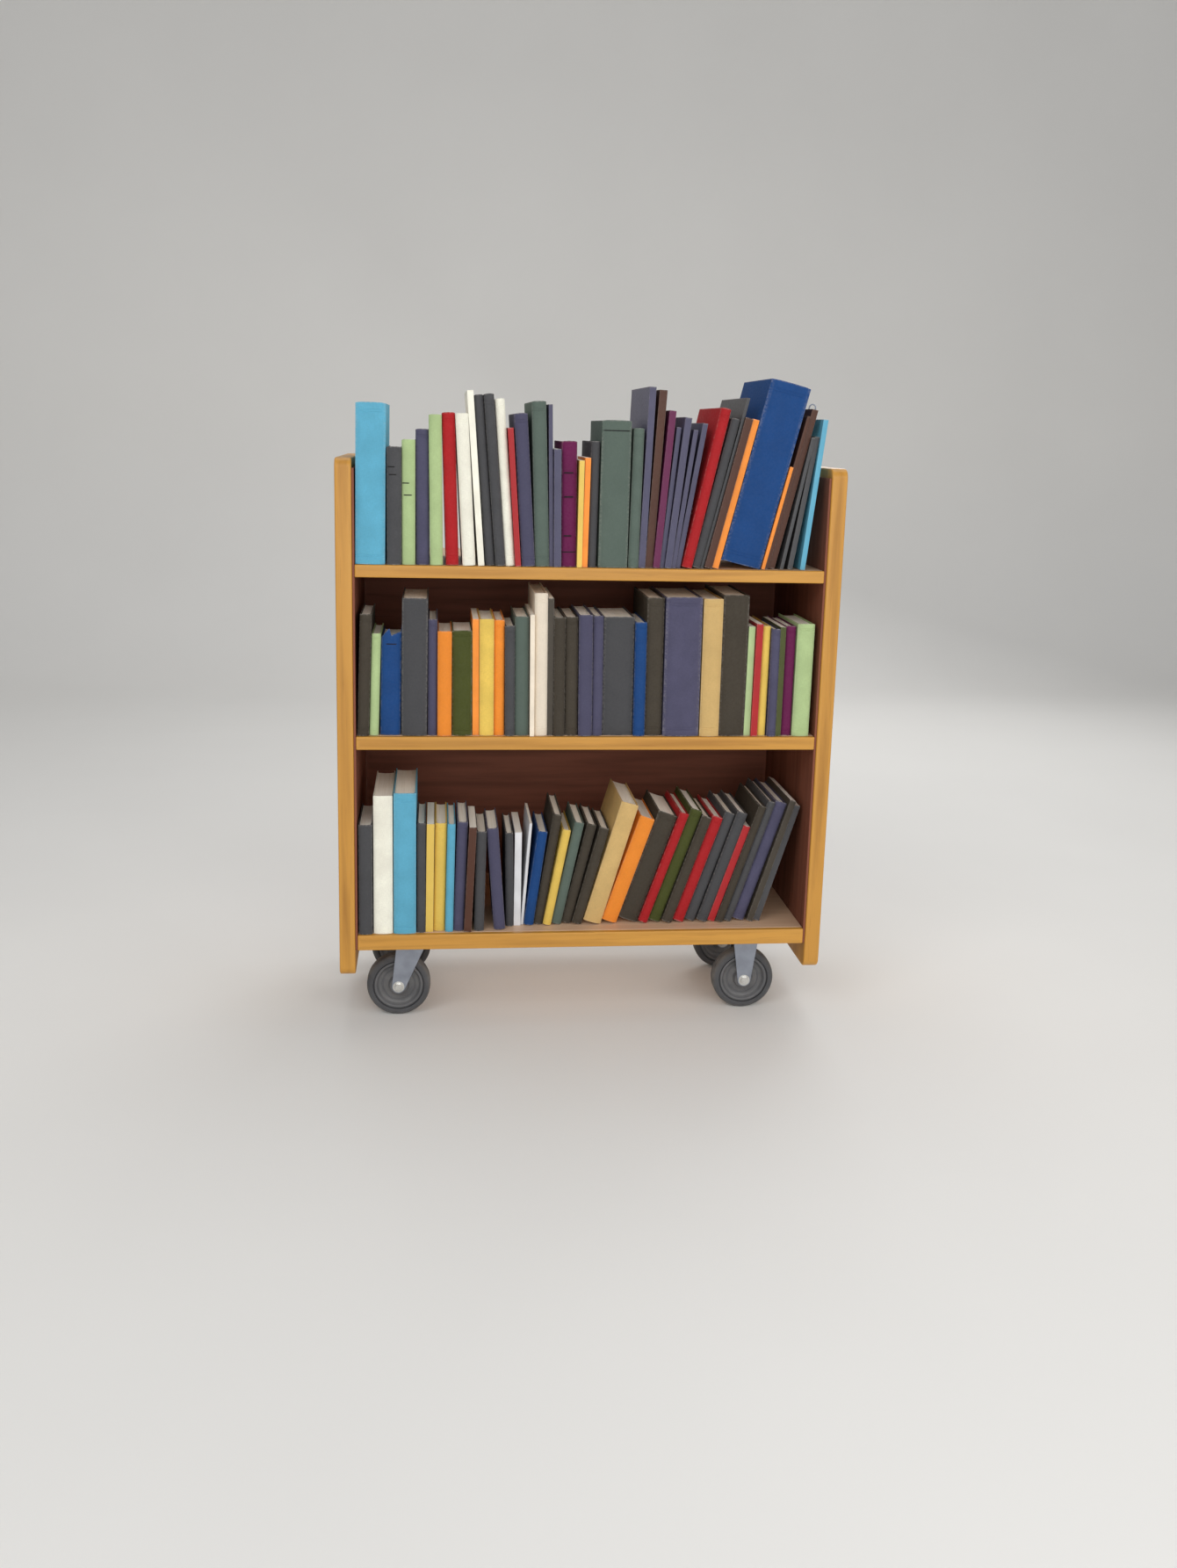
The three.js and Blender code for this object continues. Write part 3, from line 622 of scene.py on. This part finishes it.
def wheel(corner):
    axle = joint_place(f"{corner}_roll")
    body = f"{corner}_wheel"
    for name, profile, material, slot in (
        ("tyre", TYRE_PROFILE, TYRE_RUBBER, "tyre_rubber"),
        ("wheel_core", CORE_PROFILE, WHEEL_PLASTIC, "wheel_plastic"),
    ):
        part, wear = turned(both_sides(profile), axle, 1)
        label = "tread_ring" if name == "tyre" else "cast_wheel"
        obj = make_piece(f"{corner}_{label}", [part], material, body, slot, 40.0, {"wear": wear})
        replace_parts(obj, f"{corner}_{name}")


RACE_BORE = 6.1 * MM
RACE_EDGE = 1 * MM
RACE_GROOVE = 1.8 * MM
RACE_STEPS = 8
PIN_SHANK = 5.7 * MM
PIN_HEAD = 3.5 * MM
PIN_STEPS = 6


def swivel_head(corner):
    """The ball race between the plate and the crown, and the pin riveted through both."""
    low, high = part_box(f"{corner}_ball_race")
    centre = Vector(((low.x + high.x) / 2, (low.y + high.y) / 2, low.z))
    rim = (high.x - low.x) / 2
    height = high.z - low.z
    profile = [(RACE_BORE, 0.0, 0.0), (rim - RACE_EDGE, 0.0, 0.0)]
    for step in range(RACE_STEPS + 1):
        share = step / RACE_STEPS
        dip = RACE_GROOVE * math.sin(math.pi * share) ** 2
        profile.append((rim - dip, height * (0.12 + 0.76 * share), 0.0))
    profile += [(rim - RACE_EDGE, height, 0.0), (RACE_BORE, height, 0.0)]
    part, _ = turned(profile, centre, 2, 64)
    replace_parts(make_piece(f"{corner}_raceway", [part], ZINC, "cart", "zinc"), f"{corner}_ball_race")
    low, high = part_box(f"{corner}_king_pin")
    head = (high.x - low.x) / 2
    height = high.z - low.z
    profile = [(ON_AXIS, 0.0, 0.0)]
    for step in range(PIN_STEPS + 1):
        angle = math.radians(90 * step / PIN_STEPS)
        domed = PIN_HEAD * 0.8 * (1 - math.cos(angle))
        profile.append((head * (0.55 + 0.45 * math.sin(angle)), domed, 0.0))
    profile += [(head, PIN_HEAD, 0.0), (PIN_SHANK, PIN_HEAD, 0.0), (PIN_SHANK, height, 0.0)]
    profile.append((ON_AXIS, height, 0.0))
    part, _ = turned(profile, Vector((centre.x, centre.y, low.z)), 2, 48)
    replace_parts(make_piece(f"{corner}_rivet_pin", [part], ZINC, "cart", "zinc"), f"{corner}_king_pin")


THREAD_PITCH = 1.25 * MM
THREAD_DEPTH = 0.5 * MM
THREAD_LENGTH = 12 * MM
AXLE_RADIUS = 4.7 * MM
BORE_RADIUS = 5.0 * MM
NUT_COLLAR = 2 * MM
WASHER = 0.8 * MM
WASHER_RADIUS = 11.4 * MM


def axle(corner):
    """The wheel's axle: a hexagon bolt, a lock nut, two washers and the sleeve the hub turns on."""
    body = caster_body(corner)
    centre = joint_place(f"{corner}_roll")
    bolt_low, bolt_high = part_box(f"{corner}_axle_bolt")
    nut_low, nut_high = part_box(f"{corner}_axle_nut")
    hexagon = (bolt_high.x - bolt_low.x) / 2
    leg_face = nut_low.y - centre.y - NUT_GAP
    head_face = centre.y - leg_face - WASHER
    head = hexagon_head(Vector((centre.x, head_face, centre.z)), hexagon, bolt_low.y - head_face, 1)
    end = bolt_high.y - centre.y
    start = head_face - centre.y
    root = AXLE_RADIUS - THREAD_DEPTH
    profile = [(ON_AXIS, start, 0.0), (AXLE_RADIUS, start, 0.0)]
    for turn in range(round(THREAD_LENGTH / THREAD_PITCH)):
        crest = end - THREAD_LENGTH + turn * THREAD_PITCH
        profile += [(AXLE_RADIUS, crest, 0.0), (root, crest + THREAD_PITCH / 2, 0.0)]
    profile += [(root, end, 0.0), (ON_AXIS, end, 0.0)]
    parts = [head, turned(profile, centre, 1, 32)[0]]
    bolt = make_piece(f"{corner}_axle_screw", parts, ZINC, body, "zinc", 30.0)
    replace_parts(bolt, f"{corner}_axle_bolt")
    at = centre + Vector((0.0, leg_face + WASHER, 0.0))
    height = nut_high.y - at.y
    rim = 0.8 * hexagon
    ring = [(AXLE_RADIUS, 0, 0), (rim, 0, 0), (rim, height, 0), (AXLE_RADIUS, height, 0)]
    parts = [hexagon_head(at, hexagon, height - NUT_COLLAR, 1), turned(ring, at, 1, 48)[0]]
    nut = make_piece(f"{corner}_lock_nut", parts, ZINC, body, "zinc", 30.0)
    ease_edges(nut, 0.3 * MM)
    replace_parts(nut, f"{corner}_axle_nut")
    parts = []
    for sign in (-1, 1):
        at = centre + Vector((0, sign * leg_face, 0))
        out = sign * WASHER
        ring = [(BORE_RADIUS, 0, 0), (WASHER_RADIUS, 0, 0), (WASHER_RADIUS, out, 0), (BORE_RADIUS, out, 0)]
        parts.append(turned(ring, at, 1, 48)[0])
    ease_edges(make_piece(f"{corner}_axle_washers", parts, ZINC, body, "zinc"), 0.2 * MM)
    sleeve_low, sleeve_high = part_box(f"{corner}_hub_sleeve")
    outside = (sleeve_high.x - sleeve_low.x) / 2
    reach = (sleeve_high.y - sleeve_low.y) / 2
    ring = [(BORE_RADIUS, -reach, 0), (outside, -reach, 0), (outside, reach, 0), (BORE_RADIUS, reach, 0)]
    part, _ = turned(ring, centre, 1, 48)
    sleeve = make_piece(f"{corner}_bearing_sleeve", [part], ZINC, body, "zinc")
    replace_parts(sleeve, f"{corner}_hub_sleeve")


def casters():
    for corner in ("front_left", "rear_left", "front_right", "rear_right"):
        fork(corner)
        plate(corner)
        axle(corner)
        wheel(corner)
        if swivels(corner):
            swivel_head(corner)


# ---- Books ----

BOOK_COLOURS = {
    "tall_light_blue_book": "sky",
    "top_left_books": "charcoal leaf slate leaf red white white charcoal charcoal white red",
    "top_centre_books": "slate sage slate slate plum yellow orange charcoal",
    "broad_green_book": "sage",
    "top_right_books": "sage slate brown plum slate slate slate slate",
    "top_leaning_books": "red charcoal charcoal brown orange",
    "large_blue_book": "blue",
    "top_last_books": "orange brown brown charcoal charcoal sky",
    "middle_left_books": "umber leaf blue charcoal slate orange olive orange yellow orange charcoal sage",
    "middle_centre_books": "cream cream umber umber umber slate slate charcoal blue umber",
    "broad_slate_book": "slate",
    "middle_right_books": "tan umber leaf red yellow slate olive plum leaf",
    "dark_grey_book": "charcoal",
    "tall_white_book": "white",
    "sky_blue_book": "sky",
    "bottom_left_books": "charcoal yellow yellow sky slate brown charcoal slate",
    "bottom_centre_books": "charcoal silver silver blue umber yellow sage umber umber",
    "bottom_leaning_books":
        "tan orange umber red olive umber red charcoal charcoal red umber charcoal slate umber charcoal",
}
# Marks across a spine: height as a share of the book's, how far it stands out in mm, and the part
# that is inked, from -1 at the spine's left edge to 1 at its right.
SPINE_MARKS = {
    ("top_left_books", 0): [(0.765, 0.0, -0.6, 0.3), (0.83, 0.0, -1.0, 0.1)],
    ("top_left_books", 1): [(0.56, 0.0, -0.6, 0.4), (0.655, 0.0, -0.9, 0.1)],
    ("top_centre_books", 4): [
        (0.12, 0.0, -1.0, 1.0), (0.25, 1.2, -0.7, 0.3), (0.56, 1.2, -0.7, 0.5), (0.75, 1.2, -0.7, 0.5),
    ],
    ("broad_green_book", None): [(0.93, 0.0, -0.8, 0.8)],
    ("middle_left_books", 2): [(0.85, 0.0, -0.4, 0.4)],
}
GROOVED_SPINE = [(share, -0.5, 1.0, 1.0) for share in (0.045, 0.06, 0.94, 0.955)]
TORN_BOOK = ("middle_left_books", 2)
TORN_HEAD = [(-1.0, 19 * MM), (-0.22, 0.0), (0.0, 14 * MM), (1.0, 6 * MM)]  # across the spine
BOOKMARKED = ("top_last_books", 2)
HEAD_CAP = 1.4 * MM  # how far a sewn spine's middle stands above its boards
THINNEST_HARDBACK = 14.5 * MM
THINNEST_WITH_HEADBANDS = 18.125 * MM
GROOVED_SHARE = 0.55  # of the hardbacks without marks of their own
BOOK_AIR = 0.6 * MM
WIDEST_LEAN = 26  # degrees
LEANS_PER_DEGREE = 10


class Book:
    """One book's size, lean and place, the middle of its spine's foot, read from its CAD node."""

    def __init__(self, points, triangles_behind):
        best = None
        last = WIDEST_LEAN * LEANS_PER_DEGREE
        for step in range(-last, last + 1):
            lean = math.radians(step / LEANS_PER_DEGREE)
            across = [p.x * math.cos(lean) - p.z * math.sin(lean) for p in points]
            up = [p.x * math.sin(lean) + p.z * math.cos(lean) for p in points]
            area = (max(across) - min(across)) * (max(up) - min(up))
            if best is None or area < best[0]:
                best = (area, lean, min(across), max(across), min(up), max(up))
        _, self.lean, left, right, foot, head = best
        self.thickness = right - left - BOOK_AIR
        self.height = head - foot
        self.front = points[0].y
        middle = (left + right) / 2
        self.place = Vector((
            middle * math.cos(self.lean) + foot * math.sin(self.lean),
            self.front,
            -middle * math.sin(self.lean) + foot * math.cos(self.lean),
        ))
        covered = {}
        for centre, area in triangles_behind:
            across = centre.x * math.cos(self.lean) - centre.z * math.sin(self.lean)
            up = centre.x * math.sin(self.lean) + centre.z * math.cos(self.lean)
            if left < across < right and foot < up < head:
                key = round(centre.y, 5)
                covered[key] = covered.get(key, 0.0) + area
        self.depth = max(covered, key=covered.get) - self.front


def read_books(node):
    """The books of a CAD node from left to right. Each one's spine face lies at a depth of its own."""
    mesh = frame["nodes"][node].data
    spines = {}
    behind = []
    for polygon in mesh.polygons:
        if polygon.normal.y < -0.99:
            points = [mesh.vertices[index].co for index in polygon.vertices]
            spines.setdefault(round(points[0].y, 5), []).extend(points)
        elif polygon.normal.y > 0.99:
            behind.append((polygon.center.copy(), polygon.area))
    books = [Book(points, behind) for points in spines.values()]
    return sorted(books, key=lambda book: book.place.x)


SPINE_POINTS = 11
SHELL_WEAR_REACH = 2.5 * MM
ROUNDEST_SPINE = 0.28  # a spine's bulge, as a share of the book's thickness
# Round a mark across a spine, in mm: distance from its middle, and share of the depth reached there.
BAND_ROWS = [(-2.8, 0.0), (-1.8, 0.75), (-0.9, 1.0), (0.9, 1.0), (1.8, 0.75), (2.8, 0.0)]
GROOVE_ROWS = [(-1.2, 0.0), (-0.9, 1.0), (0.9, 1.0), (1.2, 0.0)]


def spine_bulge(book, binding):
    return min(binding["bulge"], ROUNDEST_SPINE * book.thickness)


def shell_section(book, binding):
    """Half-open outline of a cover seen from above, outside then inside, as (x, y, spine share, wear)."""
    half = book.thickness / 2
    board = binding["board"]
    bulge = spine_bulge(book, binding)
    shoulder = bulge + 1.5 * MM
    hinge = shoulder + binding["hinge"]
    outer = [(-half, book.depth, 0.0, 1.0), (-half, book.depth - SHELL_WEAR_REACH, 0.0, 0.0)]
    outer += [(-half, hinge + 3 * MM, 0.0, 0.0), (-half + binding["groove"], hinge, 0.0, 0.0)]
    inner = [(-half + board, y, share, wear) for _, y, share, wear in outer[:3]]
    inner.append((-half + board + binding["groove"], hinge, 0.0, 0.0))
    for step in range(SPINE_POINTS):
        turn = -1 + 2 * step / (SPINE_POINTS - 1)
        y = bulge * (1 - math.sqrt(max(0.0, 1 - 0.96 * turn * turn))) / 0.8
        outer.append((turn * half, min(y, shoulder), 1 - turn ** 4, 0.5 if abs(turn) == 1 else 0.0))
        inner.append((turn * (half - board), min(y, shoulder) + binding["spine"], 0.0, 0.0))
    outer += [(-x, y, share, wear) for x, y, share, wear in reversed(outer[:4])]
    inner += [(-x, y, share, wear) for x, y, share, wear in reversed(inner[:4])]
    return outer, inner


def shell_rows(book, marks):
    """Heights up a cover, each with how far the spine stands out there and its inked part."""
    rows = [(0.0, 0.0, None), (SHELL_WEAR_REACH, 0.0, None)]
    for share, push, start, end in marks:
        for away, part in BAND_ROWS if push > 0 else GROOVE_ROWS:
            inked = (start, end) if part == 1.0 and start < end else None
            rows.append((share * book.height + away * MM, part * push * MM, inked))
    rows += [(book.height - SHELL_WEAR_REACH, 0.0, None), (book.height, 0.0, None)]
    return rows


def between(points, at):
    """The value at a place, on the line through (place, value) points."""
    for (start, low), (end, high) in zip(points, points[1:]):
        if at <= end:
            return low + (high - low) * (at - start) / (end - start)
    return points[-1][1]


def head_drop(book, x, hard):
    """How far the head of a cover lies under the book's height, at one place across it."""
    turn = max(-1.0, min(1.0, 2 * x / book.thickness))
    if book.torn:
        return between(TORN_HEAD, turn)
    return HEAD_CAP * turn ** 4 if hard else 0.0


HARDBACK = {
    "board": 2.2 * MM, "spine": 1.4 * MM, "bulge": 5 * MM, "hinge": 5 * MM, "groove": 0.9 * MM,
    "square": 2.6 * MM,
}
PAPERBACK = {
    "board": 0.5 * MM, "spine": 0.5 * MM, "bulge": 0.4 * MM, "hinge": 4 * MM, "groove": 0.15 * MM,
    "square": 0.0,
}


def shell(book, binding, marks):
    """A cover: both boards and the spine as one closed shell, open at its fore-edge."""
    outer, inner = shell_section(book, binding)
    loops = []
    wear_values = []
    ink_values = []
    hard = binding is HARDBACK
    for z, push, inked in shell_rows(book, marks):
        end = z in (0.0, book.height)
        at_head = z >= book.height - SHELL_WEAR_REACH
        loop = []
        for x, y, share, _ in outer + inner[::-1]:
            drop = head_drop(book, x, hard) if at_head else 0.0
            loop.append(Vector((x, y - push * share, z - drop)))
        loops.append(loop)
        for x, _, share, wear in outer:
            wear_values.append(1.0 if end else wear)
            turn = 2 * x / book.thickness
            reached = inked is not None and share > 0.05 and inked[0] <= turn <= inked[1]
            ink_values.append(1.0 if reached else 0.0)
        wear_values += [0.0] * len(inner)
        ink_values += [0.0] * len(inner)
    vertices, faces = loft(loops, caps=False)
    count = len(outer)
    last = len(vertices) - 2 * count
    for k in range(count - 1):
        for start in (0, last):
            faces.append((start + k, start + k + 1, start + 2 * count - 2 - k, start + 2 * count - 1 - k))
    return (vertices, faces), wear_values, ink_values


SIGNATURE = 2.4 * MM
MOST_SECTIONS = 26
BAND_RADIUS = 1.1 * MM
BOOKMARK_WIRE = 1.3 * MM
BOOKMARK_HIDDEN = 8 * MM
BOOKMARK_STEM = 14 * MM
BOOKMARK_HOOK = 6 * MM


def page_block(book, binding, chance):
    """The block of pages, as sections of leaves that stand a little unevenly, with its two headbands."""
    half = book.thickness / 2 - binding["board"] - 0.15 * MM
    bulge = spine_bulge(book, binding)
    back = bulge * 0.5 + binding["spine"] + 0.4 * MM
    square = binding["square"]
    hollow = 0.9 * bulge if square else 0.0
    page_drop = TORN_HEAD[0][1] + 1 * MM if book.torn else HEAD_CAP if square else 0.0
    sections = max(3, min(MOST_SECTIONS, round(2 * half / SIGNATURE)))
    loops = []
    for step in range(2 * sections + 1):
        turn = -1 + step / sections
        ridge = 0.22 * MM if step % 2 else 0.0
        uneven = chance.uniform(0.0, 0.25) * MM + ridge
        start = back + 0.5 * bulge * turn * turn
        end = book.depth - square - hollow * (1 - turn * turn) - 0.2 * MM - uneven
        low = square + uneven + 0.1 * MM
        high = book.height - low - page_drop
        corners = ((start, low), (end, low), (end, high), (start, high))
        loops.append([Vector((turn * half, y, z)) for y, z in corners])
    vertices, faces = loft(loops)
    ink = [0.0] * len(vertices)
    if square and book.thickness > THINNEST_WITH_HEADBANDS:
        for z in (square, book.height - square - page_drop):
            rolls = []
            for step in range(9):
                turn = -1 + step / 4
                centre = Vector((turn * half, back + 0.5 * bulge * turn * turn - 0.2 * MM, z))
                ring = [math.radians(45 * k) for k in range(8)]
                rolls.append([centre + BAND_RADIUS * Vector((0, math.cos(a), math.sin(a))) for a in ring])
            roll_vertices, roll_faces = loft(rolls)
            faces += [tuple(len(vertices) + index for index in face) for face in roll_faces]
            vertices += roll_vertices
            ink += [1.0] * len(roll_vertices)
    return (vertices, faces), ink


def bookmark(book, name, body):
    """A wire bookmark whose hooked end stands out of the head of a book, from between its pages."""
    start = Vector((0.0, 0.22 * book.depth, book.height - BOOKMARK_HIDDEN))
    path = [start, start + Vector((0.0, 0.0, BOOKMARK_STEM))]
    for step in range(1, 11):
        angle = math.radians(180 - 21 * step)
        path.append(path[1] + BOOKMARK_HOOK * Vector((1 + math.cos(angle), 0.0, math.sin(angle))))
    back = Vector((0.0, 1.0, 0.0))
    loops = []
    for index, point in enumerate(path):
        ahead = path[min(index + 1, len(path) - 1)] - path[max(index - 1, 0)]
        side = Vector((ahead.z, 0.0, -ahead.x)).normalized()
        ring = [math.radians(45 * k) for k in range(8)]
        loops.append([point + BOOKMARK_WIRE * (math.cos(a) * side + math.sin(a) * back) for a in ring])
    where = {"place": book.place, "lean": book.lean}
    make_piece(f"{name}_wire_bookmark", [loft(loops)], FORK_STEEL, body, "fork_steel", **where)


def make_book(node, index, book, colour, body, chance):
    """A cover and its pages; it returns the cover."""
    hard = book.thickness >= THINNEST_HARDBACK
    binding = HARDBACK if hard else PAPERBACK
    marks = SPINE_MARKS.get((node, index), [])
    book.torn = (node, index) == TORN_BOOK
    if not marks and hard and chance.random() < GROOVED_SHARE:
        marks = GROOVED_SPINE
    tone = chance.uniform(0.0, 0.7)
    part, wear, ink = shell(book, binding, marks)
    attributes = {"wear": wear, "ink": ink, "tone": [tone] * len(wear)}
    material = (CLOTH if hard else COATED)[colour]
    name = node if index is None else f"{node}_{index + 1:02d}"
    where = {"place": book.place, "lean": book.lean}
    case = make_piece(f"{name}_cover", [part], material, body, f"cover_{colour}", 30.0, attributes, **where)
    ease_edges(case, 0.5 * MM if hard else 0.12 * MM)
    part, ink = page_block(book, binding, chance)
    attributes = {"ink": ink, "tone": [chance.random()] * len(ink)}
    make_piece(f"{name}_pages", [part], PAPER, body, "pages", 20.0, attributes, **where)
    if (node, index) == BOOKMARKED:
        bookmark(book, name, body)
    return case


def books():
    chance = random.Random(7)
    for node, colours in BOOK_COLOURS.items():
        found = read_books(node)
        names = colours.split()
        if len(found) != len(names):
            raise RuntimeError(f"{node} holds {len(found)} books and {len(names)} colours are listed")
        body = node if node in frame["bodies"] else "cart"
        cases = []
        for position, (book, colour) in enumerate(zip(found, names)):
            index = None if len(names) == 1 else position
            cases.append(make_book(node, index, book, colour, body, chance))
        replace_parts(cases[0], node)


# ---- Stage ----

FLOOR_SIZE = 14.0
BACKDROP_DISTANCE = 3.2
BACKDROP_CURVE = 1.2
BACKDROP_STEPS = 12
BACKDROP_HEIGHT = 5.0
WORLD_COLOUR = (0.95, 0.97, 1.0, 1.0)
WORLD_STRENGTH = 0.36
# Name: place, width and height in metres, and power in watts.
LIGHTS = {
    "key": ((-2.4, -3.4, 3.4), (2.2, 2.2), 46.0),
    "fill": ((3.0, -2.6, 1.8), (2.4, 2.0), 28.0),
    "front": ((0.2, -4.2, 1.7), (3.2, 3.0), 68.0),
    "top": ((0.2, 0.6, 3.6), (2.6, 1.8), 28.0),
    "back": ((1.6, 3.0, 2.4), (2.4, 1.6), 34.0),
}
LIT_POINT = Vector((0.0, 0.0, 0.6))


def stage():
    """A pale floor that curves up into a backdrop."""
    profile = [(-FLOOR_SIZE, 0.0), (BACKDROP_DISTANCE, 0.0)]
    for step in range(1, BACKDROP_STEPS + 1):
        angle = math.radians(90 * step / BACKDROP_STEPS)
        y = BACKDROP_DISTANCE + BACKDROP_CURVE * math.sin(angle)
        profile.append((y, BACKDROP_CURVE * (1 - math.cos(angle))))
    profile.append((BACKDROP_DISTANCE + BACKDROP_CURVE, BACKDROP_HEIGHT))
    loops = [[Vector((x, y, z)) for y, z in profile] for x in (-FLOOR_SIZE, FLOOR_SIZE)]
    vertices, faces = loft(loops, closed=False)
    mesh = bpy.data.meshes.new("floor")
    mesh.from_pydata([tuple(v) for v in vertices], [], faces)
    mesh.materials.append(stage_surface())
    mesh.shade_smooth()
    floor = bpy.data.objects.new("floor", mesh)
    bpy.context.scene.collection.objects.link(floor)


def area_light(name, place, size, power):
    light = bpy.data.lights.new(name, "AREA")
    light.shape = "RECTANGLE"
    light.size, light.size_y = size
    light.energy = power
    lamp = bpy.data.objects.new(name, light)
    lamp.location = place
    lamp.rotation_euler = (Vector(place) - LIT_POINT).to_track_quat("Z", "Y").to_euler()
    bpy.context.scene.collection.objects.link(lamp)


def lighting():
    world = bpy.data.worlds.new("studio")
    world.use_nodes = True
    background = world.node_tree.nodes["Background"]
    background.inputs["Color"].default_value = WORLD_COLOUR
    background.inputs["Strength"].default_value = WORLD_STRENGTH
    bpy.context.scene.world = world
    for name, (place, size, power) in LIGHTS.items():
        area_light(name, place, size, power)
    bpy.context.scene.view_settings.view_transform = "Standard"


make_camera()
carcass()
for panel_side in ("left", "right"):
    screw_caps(panel_side)
casters()
books()
stage()
lighting()
